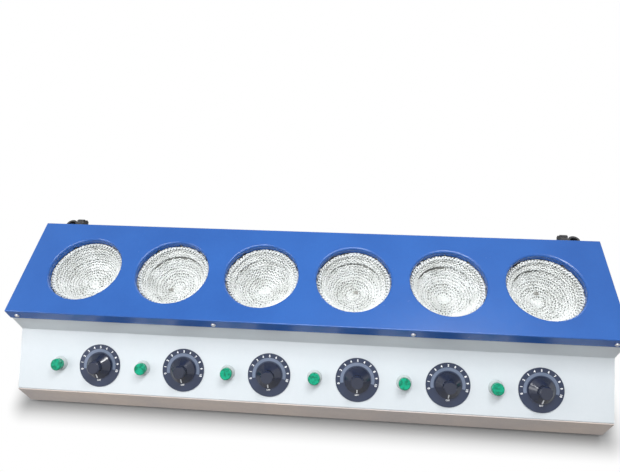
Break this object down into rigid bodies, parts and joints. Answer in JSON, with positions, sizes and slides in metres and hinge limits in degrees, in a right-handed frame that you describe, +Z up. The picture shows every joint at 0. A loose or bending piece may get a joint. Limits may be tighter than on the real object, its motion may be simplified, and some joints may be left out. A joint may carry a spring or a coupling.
{
  "type": "heating mantle",
  "caption": "Laboratory bank of electric heating mantles in one console housing: a row of knitted bowls on top, turning heat controls and pilot lamps on a sloping front panel.",
  "frame": {"origin": "centre of the whole object's outline in plan, on the plane the feet rest on", "axes": "+X along the row of bowls to the right of a person at the controls, +Y from the control panel to the rear, +Z up"},
  "size_m": [0.8786, 0.269, 0.16],
  "materials": {
    "blue_enamel": "powder coat, semi-gloss",
    "white_enamel": "powder coat, semi-gloss",
    "plinth_enamel": "satin",
    "zinc_sheet": "dull zinc",
    "glass_yarn": "knitted glass yarn",
    "glass_wool": "fibrous",
    "dial_black": "printed satin",
    "knob_black": "moulded gloss",
    "bright_steel": "turned",
    "regulator_case": "moulded",
    "lamp_green": "translucent moulded",
    "lamp_collar": "moulded",
    "holder_black": "satin",
    "clamp_black": "moulded",
    "gland_black": "moulded",
    "terminal_white": "moulded",
    "foot_rubber": "matte"
  },
  "bodies": {
    "housing": {"top_cover": "blue_enamel", "front_panel": "white_enamel", "rear_panel": "white_enamel", "end_panel_left": "white_enamel", "end_panel_right": "white_enamel", "base_tray": "plinth_enamel", "feet": "foot_rubber", "inner_trough": "zinc_sheet", "wool_packing": "glass_wool", "net_bowl_1": "glass_yarn", "net_bowl_2": "glass_yarn", "net_bowl_3": "glass_yarn", "net_bowl_4": "glass_yarn", "net_bowl_5": "glass_yarn", "net_bowl_6": "glass_yarn", "dial_plate_1": "dial_black", "regulator_1": "regulator_case", "dial_plate_2": "dial_black", "regulator_2": "regulator_case", "dial_plate_3": "dial_black", "regulator_3": "regulator_case", "dial_plate_4": "dial_black", "regulator_4": "regulator_case", "dial_plate_5": "dial_black", "regulator_5": "regulator_case", "dial_plate_6": "dial_black", "regulator_6": "regulator_case", "bush_nuts": "bright_steel", "lamp_body_1": "lamp_collar", "lamp_lens_1": "lamp_green", "lamp_body_2": "lamp_collar", "lamp_lens_2": "lamp_green", "lamp_body_3": "lamp_collar", "lamp_lens_3": "lamp_green", "lamp_body_4": "lamp_collar", "lamp_lens_4": "lamp_green", "lamp_body_5": "lamp_collar", "lamp_lens_5": "lamp_green", "lamp_body_6": "lamp_collar", "lamp_lens_6": "lamp_green", "lamp_nuts": "bright_steel", "rod_holder_left": "holder_black", "rod_holder_right": "holder_black", "cable_gland": "gland_black", "terminal_block": "terminal_white", "cover_screws": "bright_steel"},
    "control_1": {"knob_1": "knob_black", "spindle_1": "bright_steel"},
    "control_2": {"knob_2": "knob_black", "spindle_2": "bright_steel"},
    "control_3": {"knob_3": "knob_black", "spindle_3": "bright_steel"},
    "control_4": {"knob_4": "knob_black", "spindle_4": "bright_steel"},
    "control_5": {"knob_5": "knob_black", "spindle_5": "bright_steel"},
    "control_6": {"knob_6": "knob_black", "spindle_6": "bright_steel"},
    "clamp_left": {"clamp_screw_left": "clamp_black"},
    "clamp_right": {"clamp_screw_right": "clamp_black"}
  },
  "joints": [
    {"name": "knob_1_turn", "type": "hinge", "parent": "housing", "child": "control_1", "pos_m": [-0.3085, -0.10022, 0.0775], "axis": [0, -0.5735, 0.8192], "range_deg": [-283, 0]},
    {"name": "knob_2_turn", "type": "hinge", "parent": "housing", "child": "control_2", "pos_m": [-0.1795, -0.10022, 0.0775], "axis": [0, -0.5735, 0.8192], "range_deg": [-283, 0]},
    {"name": "knob_3_turn", "type": "hinge", "parent": "housing", "child": "control_3", "pos_m": [-0.0505, -0.10022, 0.0775], "axis": [0, -0.5735, 0.8192], "range_deg": [-283, 0]},
    {"name": "knob_4_turn", "type": "hinge", "parent": "housing", "child": "control_4", "pos_m": [0.0785, -0.10022, 0.0775], "axis": [0, -0.5735, 0.8192], "range_deg": [-283, 0]},
    {"name": "knob_5_turn", "type": "hinge", "parent": "housing", "child": "control_5", "pos_m": [0.2075, -0.10022, 0.0775], "axis": [0, -0.5735, 0.8192], "range_deg": [-283, 0]},
    {"name": "knob_6_turn", "type": "hinge", "parent": "housing", "child": "control_6", "pos_m": [0.3365, -0.10022, 0.0775], "axis": [0, -0.5735, 0.8192], "range_deg": [-283, 0]},
    {"name": "clamp_left_turn", "type": "hinge", "parent": "housing", "child": "clamp_left", "pos_m": [-0.4095, 0.1215, 0.132], "axis": [1, 0, 0], "range_deg": [-90, 720]},
    {"name": "clamp_right_turn", "type": "hinge", "parent": "housing", "child": "clamp_right", "pos_m": [0.4095, 0.1215, 0.132], "axis": [1, 0, 0], "range_deg": [-720, 90]}
  ]
}
